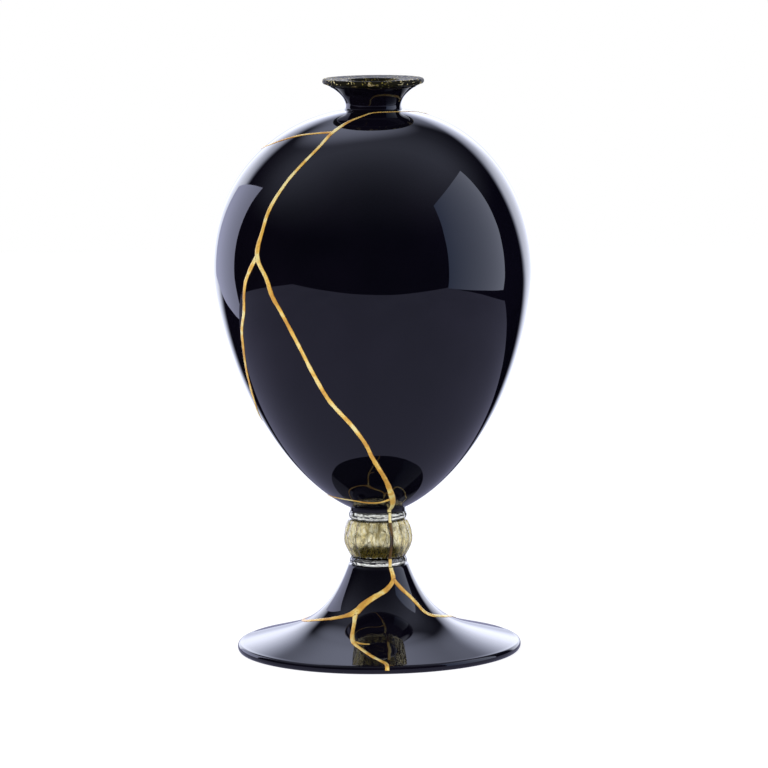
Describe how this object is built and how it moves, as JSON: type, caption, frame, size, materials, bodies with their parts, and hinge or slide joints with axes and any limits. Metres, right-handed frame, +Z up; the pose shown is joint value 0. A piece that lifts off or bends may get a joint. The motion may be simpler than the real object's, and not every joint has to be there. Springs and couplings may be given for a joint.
{
  "type": "kintsugi vase",
  "caption": "Hollow black glass vase with a short neck and flat lip, standing on a ribbed gold knop and a trumpet foot, with raised gold repair seams.",
  "frame": {"origin": "centre of the foot's underside, on the surface that the vase stands on", "axes": "+Z up along the vase, -Y towards the front that the picture shows, +X to the right"},
  "size_m": [0.178, 0.178, 0.32],
  "materials": {
    "black_glass": "polished opaque black glass",
    "flecked_glass": "dark glass with gold leaf flecks",
    "clear_glass": "clear polished glass",
    "gold_leaf_glass": "crackled gold leaf under clear ribbed glass",
    "seam_gold": "satin gold, slightly grainy and raised"
  },
  "bodies": {
    "root": {"bowl": "black_glass", "lip_wrap": "flecked_glass", "upper_collar": "clear_glass", "knop": "gold_leaf_glass", "lower_collar": "clear_glass", "foot": "black_glass", "seam_bowl": "seam_gold", "seam_stem": "seam_gold", "seam_foot": "seam_gold"}
  },
  "joints": []
}
